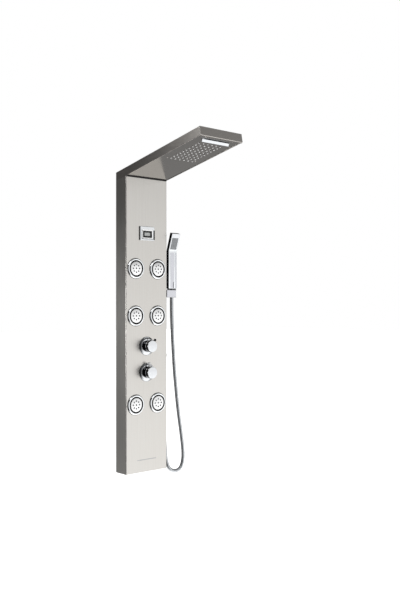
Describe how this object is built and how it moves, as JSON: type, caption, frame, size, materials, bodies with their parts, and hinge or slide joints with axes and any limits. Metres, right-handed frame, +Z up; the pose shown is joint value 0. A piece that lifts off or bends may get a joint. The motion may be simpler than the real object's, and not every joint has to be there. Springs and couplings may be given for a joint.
{
  "type": "rainfall shower column",
  "caption": "Wall-hung shower column with a sloped rain and waterfall head, swivelling body jets, display, two turning controls and a lift-off handset on a hose.",
  "frame": {"origin": "centre of the upper wall bracket's back face, on the wall plane", "axes": "+X to the column's right along the wall, +Y into the wall, +Z up"},
  "size_m": [0.3098, 0.4998, 1.2985],
  "materials": {
    "brushed_steel": "vertical brush grain",
    "polished_steel": "semi-polished",
    "chrome": "polished plate",
    "brass": "as cast and turned",
    "white_plastic": "moulded, satin",
    "black_plastic": "moulded, satin",
    "silicone": "soft, matt",
    "grey_face": "moulded, satin",
    "window": "clear, over a grey display",
    "hose_steel": "wound metal strip"
  },
  "bodies": {
    "column": {"column_shell": "brushed_steel", "display_frame": "chrome", "display_module": "black_plastic", "display_window": "window", "diverter_flange": "chrome", "diverter_valve": "brass", "handset_holder": "chrome", "head_bracket": "brushed_steel", "head_shell": "brushed_steel", "head_underplate": "polished_steel", "hose_nut_lower": "chrome", "inlet_cold": "brass", "inlet_hot": "brass", "jet_body_1": "chrome", "jet_body_2": "chrome", "jet_body_3": "chrome", "jet_body_4": "chrome", "jet_body_5": "chrome", "jet_body_6": "chrome", "jet_manifold": "white_plastic", "jet_nut_1": "white_plastic", "jet_nut_2": "white_plastic", "jet_nut_3": "white_plastic", "jet_nut_4": "white_plastic", "jet_nut_5": "white_plastic", "jet_nut_6": "white_plastic", "link_pipe": "brass", "mixer_flange": "chrome", "mixer_valve": "brass", "outlet_elbow": "chrome", "outlet_pipe": "brass", "rain_chamber": "white_plastic", "rain_nozzles": "silicone", "rain_pipe": "white_plastic", "shower_hose": "hose_steel", "wall_bracket_lower": "brushed_steel", "wall_bracket_upper": "brushed_steel", "waterfall_pipe": "white_plastic", "waterfall_spout": "chrome"},
    "mixer": {"mixer_knob": "chrome", "mixer_pin": "chrome", "mixer_spindle": "brass"},
    "diverter": {"diverter_knob": "chrome", "diverter_pin": "chrome", "diverter_spindle": "brass"},
    "handset": {"handset_body": "chrome", "handset_face": "grey_face", "hose_nut_upper": "chrome"},
    "jet_1": {"jet_face_1": "white_plastic", "jet_nozzles_1": "silicone"},
    "jet_2": {"jet_face_2": "white_plastic", "jet_nozzles_2": "silicone"},
    "jet_3": {"jet_face_3": "white_plastic", "jet_nozzles_3": "silicone"},
    "jet_4": {"jet_face_4": "white_plastic", "jet_nozzles_4": "silicone"},
    "jet_5": {"jet_face_5": "white_plastic", "jet_nozzles_5": "silicone"},
    "jet_6": {"jet_face_6": "white_plastic", "jet_nozzles_6": "silicone"}
  },
  "joints": [
    {"name": "mixer_turn", "type": "hinge", "parent": "column", "child": "mixer", "pos_m": [0, -0.066, -0.5285], "axis": [0, -1, 0], "range_deg": [-90, 180]},
    {"name": "diverter_turn", "type": "hinge", "parent": "column", "child": "diverter", "pos_m": [0, -0.066, -0.631], "axis": [0, -1, 0], "range_deg": [-135, 135]},
    {"name": "handset_lift", "type": "slide", "parent": "column", "child": "handset", "axis": [0, 0, 1], "range_m": [0, 0.06]},
    {"name": "jet_tilt_1", "type": "hinge", "parent": "column", "child": "jet_1", "pos_m": [-0.0539, -0.05639, -0.226], "axis": [1, 0, 0], "range_deg": [-12, 12]},
    {"name": "jet_tilt_2", "type": "hinge", "parent": "column", "child": "jet_2", "pos_m": [0.0539, -0.05639, -0.226], "axis": [1, 0, 0], "range_deg": [-12, 12]},
    {"name": "jet_tilt_3", "type": "hinge", "parent": "column", "child": "jet_3", "pos_m": [-0.0539, -0.05639, -0.41], "axis": [1, 0, 0], "range_deg": [-12, 12]},
    {"name": "jet_tilt_4", "type": "hinge", "parent": "column", "child": "jet_4", "pos_m": [0.0539, -0.05639, -0.41], "axis": [1, 0, 0], "range_deg": [-12, 12]},
    {"name": "jet_tilt_5", "type": "hinge", "parent": "column", "child": "jet_5", "pos_m": [-0.0539, -0.05639, -0.755], "axis": [1, 0, 0], "range_deg": [-12, 12]},
    {"name": "jet_tilt_6", "type": "hinge", "parent": "column", "child": "jet_6", "pos_m": [0.0539, -0.05639, -0.755], "axis": [1, 0, 0], "range_deg": [-12, 12]}
  ]
}
